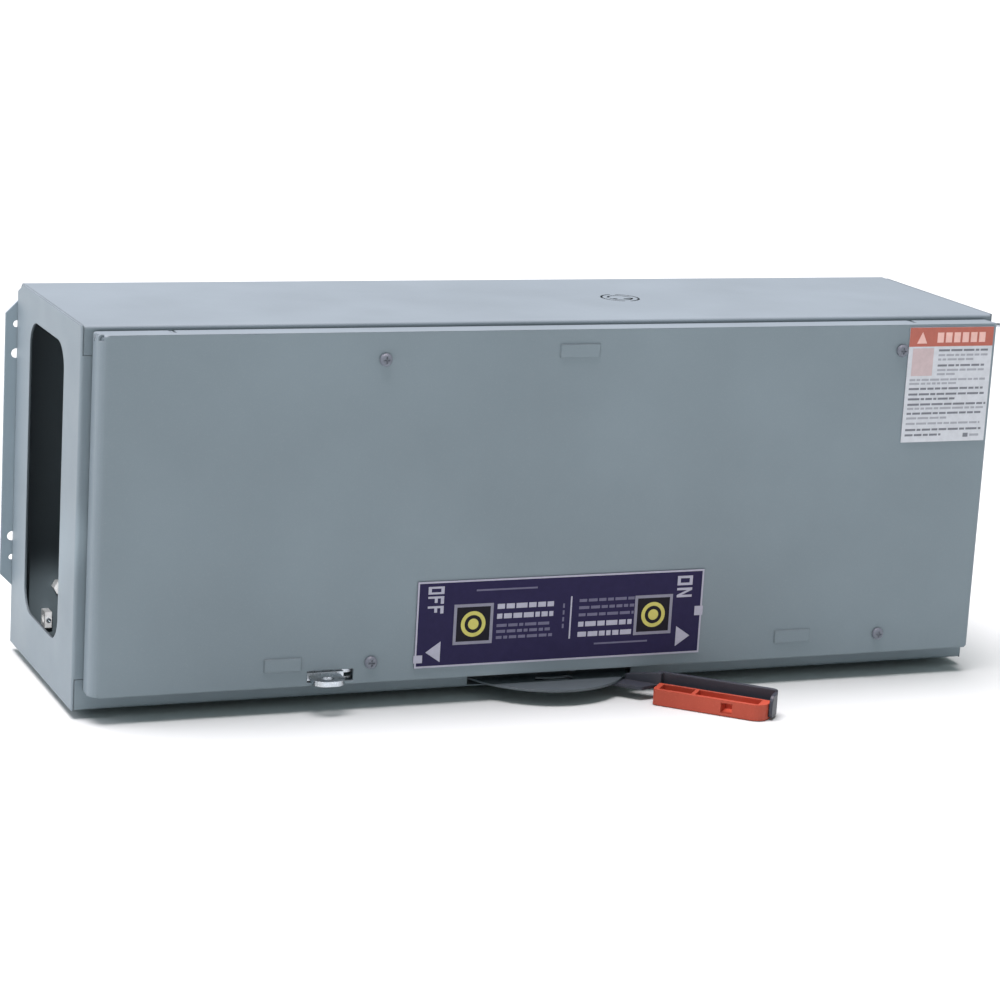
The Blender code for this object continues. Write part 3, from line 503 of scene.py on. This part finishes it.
def lug_screws():
    for side in ("line", "load"):
        for number in (1, 2, 3):
            set_screw("%s_set_screw_%d" % (side, number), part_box("%s_lug_%d" % (side, number)),
                      ((5.2, -1.0), (5.2, 3.4), (4.7, 4.0), (2.9, 4.0), (2.7, 1.2)))
    set_screw("ground_set_screw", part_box("ground_lug"),
              ((1.7, -1.0), (1.7, 1.4), (1.5, 1.7), (0.9, 1.7), (0.8, 0.5)))


def door_corner_tab():
    """Curved sheet tab behind the door's open upper left corner, seen through that corner."""
    low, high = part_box("door")
    bend, inset, sheet = 7.0 * MM, 1.7 * MM, 1.2 * MM
    side_leg, front_leg = 3.2 * MM, 6.0 * MM      # the side leg ends clear of the hinge rod
    centre = Vector((low.x + bend, low.y + DOOR_PAD + bend))
    outer, inner = bend - inset, bend - inset - sheet
    turns = [math.radians(9 * step) for step in range(11)]
    outline = [centre + Vector((-outer, side_leg))]
    outline += [centre + outer * Vector((-math.cos(turn), -math.sin(turn))) for turn in turns]
    outline += [centre + Vector((front_leg, -outer)), centre + Vector((front_leg, -inner))]
    outline += [centre + inner * Vector((-math.cos(turn), -math.sin(turn)))
                for turn in reversed(turns)]
    outline += [centre + Vector((-inner, side_leg))]
    bm = bmesh.new()
    skin_rings(bm, [[(point.x, point.y, high.z - drop) for point in outline]
                    for drop in (1.8 * MM, 13.2 * MM)])
    add_piece("door_corner_tab", bm, SURFACES["paint"], "door")


# ---------------------------------------------------------------- stage

def build_stage():
    """Pale paper floor that the box stands on."""
    low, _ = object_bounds()
    floor_mesh = bpy.data.meshes.new("floor")
    half, level = 30.0, low[2] - 0.5 * MM
    floor_mesh.from_pydata([(-half, -half, level), (half, -half, level), (half, half, level),
                            (-half, half, level)], [], [(0, 1, 2, 3)])
    surface = Surface("floor_paper")
    tone = surface.mix(surface.spread(surface.noise(3, 3), 0, 1), (0.61, 0.67, 0.66),
                       (0.63, 0.69, 0.68))
    floor_mesh.materials.append(surface.finish(tone, surface.spread(surface.noise(5), 0.7, 0.8)))
    floor = bpy.data.objects.new("floor", floor_mesh)
    bpy.context.scene.collection.objects.link(floor)


def add_light(name, kind, energy, place, target, **settings):
    data = bpy.data.lights.new(name, kind)
    data.energy = energy
    for key, value in settings.items():
        setattr(data, key, value)
    light = bpy.data.objects.new(name, data)
    light.location = place
    light.rotation_euler = (Vector(target) - Vector(place)).to_track_quat("-Z", "Y").to_euler()
    bpy.context.scene.collection.objects.link(light)


def build_light():
    """Pale surroundings, a broad sun, a soft light on the left, and a narrow one for the lug."""
    world = bpy.data.worlds.new("studio")
    world.use_nodes = True
    background = world.node_tree.nodes["Background"]
    background.inputs["Color"].default_value = (0.90, 0.98, 1.0, 1.0)
    background.inputs["Strength"].default_value = 0.34
    bpy.context.scene.world = world
    add_light("overhead", "SUN", 5.6, (0, 0, 0), (0.15, -0.06, -1.0), angle=math.radians(40),
              color=(1.0, 0.88, 0.91))
    add_light("left_side", "AREA", 15, (-2.3, 0.2, 1.3), (-0.35, -0.1, 0.05),
              shape="RECTANGLE", size=1.3, size_y=1.3, color=(1.0, 0.92, 1.0))
    earth = (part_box("ground_lug")[0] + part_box("ground_stud")[1]) / 2
    add_light("opening_glint", "SPOT", 230, earth + Vector((-0.69, -2.17, 1.256)), earth,
              spot_size=math.radians(1.5), spot_blend=1.0, shadow_soft_size=0.01)
    bpy.context.scene.view_settings.view_transform = "Standard"


def build_camera():
    """The camera's place is in metres in the model's frame, its angles in degrees."""
    place, yaw, pitch, roll = (-0.878, -2.149, 0.5025), 23.00, -13.11, 3.41
    data = bpy.data.cameras.new("camera")
    data.sensor_width = 36.0
    data.lens = 111.35
    camera = bpy.data.objects.new("camera", data)
    turn = (Matrix.Rotation(math.radians(-yaw), 4, "Z")
            @ Matrix.Rotation(math.radians(90 + pitch), 4, "X")
            @ Matrix.Rotation(math.radians(roll), 4, "Z"))
    camera.matrix_world = Matrix.Translation(place) @ turn
    bpy.context.scene.collection.objects.link(camera)
    bpy.context.scene.camera = camera


draw_nameplate()
draw_info_label()
lug_screws()
door_corner_tab()
build_stage()
build_light()
build_camera()
